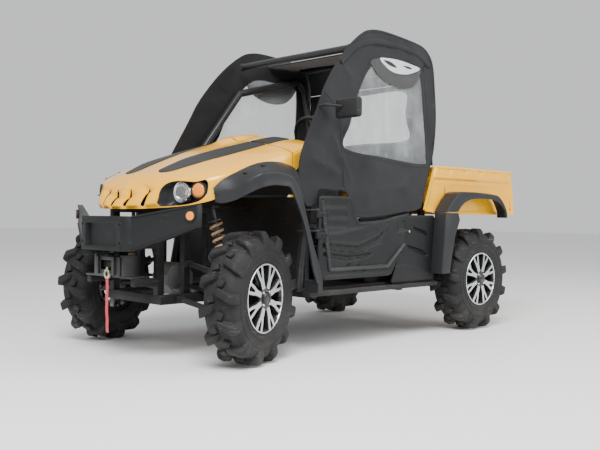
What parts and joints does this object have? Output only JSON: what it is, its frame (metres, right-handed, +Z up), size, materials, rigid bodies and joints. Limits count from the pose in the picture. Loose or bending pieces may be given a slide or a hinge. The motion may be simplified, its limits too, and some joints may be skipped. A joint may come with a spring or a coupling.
{
  "type": "side by side utility vehicle",
  "caption": "Two-seat off-road utility vehicle with a tipping bed, hinged hood and half doors, soft cab cover and steered front wheels.",
  "frame": {"origin": "on the ground under the middle of the vehicle's box", "axes": "+X forward, +Y the vehicle's left, +Z up"},
  "size_m": [3.061, 1.634, 1.9032],
  "materials": {
    "frame_paint": "satin",
    "cage_paint": "satin",
    "black_plastic": "matte",
    "grey_plastic": "satin",
    "door_plastic": "matte",
    "yellow_plastic": "gloss",
    "seat_vinyl": "matte",
    "cast_metal": "rough",
    "exhaust_steel": "satin",
    "spring_paint": "satin",
    "dark_steel": "satin",
    "bright_steel": "gloss",
    "door_fabric": "matte",
    "roof_fabric": "matte",
    "clear_vinyl": "gloss",
    "clear_lens": "gloss",
    "amber_lens": "gloss",
    "red_lens": "gloss",
    "red_webbing": "matte",
    "tyre_rubber": "matte",
    "alloy": "machined"
  },
  "bodies": {
    "chassis": {"bumper": "door_plastic", "bumper_lamps": "amber_lens", "cage_bars": "cage_paint", "cage_left": "cage_paint", "cage_right": "cage_paint", "cowl": "yellow_plastic", "dash": "black_plastic", "engine": "cast_metal", "exhaust": "exhaust_steel", "final_drives": "cast_metal", "floor_pan": "black_plastic", "front_arms": "frame_paint", "front_flare_left": "grey_plastic", "front_flare_right": "grey_plastic", "front_frame": "frame_paint", "front_shocks": "spring_paint", "half_shafts": "dark_steel", "hitch_receiver": "frame_paint", "hook": "bright_steel", "main_frame": "frame_paint", "mirror": "black_plastic", "rear_arms": "frame_paint", "rear_carriers": "cast_metal", "rear_curtain": "roof_fabric", "rear_flare_legs": "grey_plastic", "rear_frame": "frame_paint", "rear_shocks": "spring_paint", "rockers": "black_plastic", "roof_cover": "roof_fabric", "seat_backs": "seat_vinyl", "seat_base": "black_plastic", "seat_cushions": "seat_vinyl", "side_panels": "door_plastic", "soft_door_left": "door_fabric", "soft_door_right": "door_fabric", "strap": "red_webbing", "winch": "dark_steel", "windows": "clear_vinyl"},
    "wheel_fl": {"tyre_front_left": "tyre_rubber", "rim_front_left": "alloy"},
    "wheel_fr": {"tyre_front_right": "tyre_rubber", "rim_front_right": "alloy"},
    "wheel_rl": {"tyre_rear_left": "tyre_rubber", "rim_rear_left": "alloy"},
    "wheel_rr": {"tyre_rear_right": "tyre_rubber", "rim_rear_right": "alloy"},
    "knuckle_l": {"knuckle_left": "cast_metal"},
    "knuckle_r": {"knuckle_right": "cast_metal"},
    "rack": {"tie_rods": "dark_steel"},
    "steering": {"steering_wheel": "black_plastic"},
    "door_l": {"door_left": "door_plastic"},
    "door_r": {"door_right": "door_plastic"},
    "hood": {"hood": "yellow_plastic", "lamp_bezels": "black_plastic", "headlamps": "clear_lens", "amber_lamps": "amber_lens"},
    "bed": {"bed": "yellow_plastic", "bed_flares": "grey_plastic", "tail_lamps": "red_lens"},
    "tailgate": {"tailgate": "yellow_plastic"}
  },
  "joints": [
    {"name": "steer_left", "type": "hinge", "parent": "chassis", "child": "knuckle_l", "pos_m": [1.066, 0.5415, 0.342], "axis": [0, 0, 1], "range_deg": [-47, 13]},
    {"name": "steer_right", "type": "hinge", "parent": "chassis", "child": "knuckle_r", "pos_m": [1.066, -0.5415, 0.342], "axis": [0, 0, 1], "range_deg": [-47, 13]},
    {"name": "rack_slide", "type": "slide", "parent": "chassis", "child": "rack", "axis": [0, 1, 0], "range_m": [-0.027, 0.0945]},
    {"name": "steering_turn", "type": "hinge", "parent": "chassis", "child": "steering", "pos_m": [0.2, 0.3, 1.209], "axis": [-0.8192, 0, 0.5736], "range_deg": [-424, 118]},
    {"name": "roll_fl", "type": "hinge", "parent": "knuckle_l", "child": "wheel_fl", "pos_m": [1.03969, 0.62757, 0.342], "axis": [-0.2924, 0.9563, 0], "continuous": true},
    {"name": "roll_fr", "type": "hinge", "parent": "knuckle_r", "child": "wheel_fr", "pos_m": [1.09231, -0.62757, 0.342], "axis": [-0.2924, 0.9563, 0], "continuous": true},
    {"name": "roll_rl", "type": "hinge", "parent": "chassis", "child": "wheel_rl", "pos_m": [-0.96, 0.6315, 0.342], "axis": [0, 1, 0], "continuous": true},
    {"name": "roll_rr", "type": "hinge", "parent": "chassis", "child": "wheel_rr", "pos_m": [-0.96, -0.6315, 0.342], "axis": [0, 1, 0], "continuous": true},
    {"name": "door_left_hinge", "type": "hinge", "parent": "chassis", "child": "door_l", "pos_m": [0.592, 0.668, 0.6], "axis": [0, 0, -1], "range_deg": [0, 70]},
    {"name": "door_right_hinge", "type": "hinge", "parent": "chassis", "child": "door_r", "pos_m": [0.592, -0.668, 0.6], "axis": [0, 0, 1], "range_deg": [0, 70]},
    {"name": "hood_hinge", "type": "hinge", "parent": "chassis", "child": "hood", "pos_m": [1.385, 0, 0.795], "axis": [0, 1, 0], "range_deg": [0, 55]},
    {"name": "bed_tip", "type": "hinge", "parent": "chassis", "child": "bed", "pos_m": [-1.22, 0, 0.758], "axis": [0, -1, 0], "range_deg": [0, 45]},
    {"name": "tailgate_hinge", "type": "hinge", "parent": "bed", "child": "tailgate", "pos_m": [-1.492, 0, 0.805], "axis": [0, -1, 0], "range_deg": [0, 90]}
  ],
  "couplings": [
    {"joint": "steer_right", "follows": "steer_left", "ratio": 1},
    {"joint": "rack_slide", "follows": "steer_left", "m_per_rad": -0.11476},
    {"joint": "steering_turn", "follows": "steer_left", "ratio": 9}
  ]
}
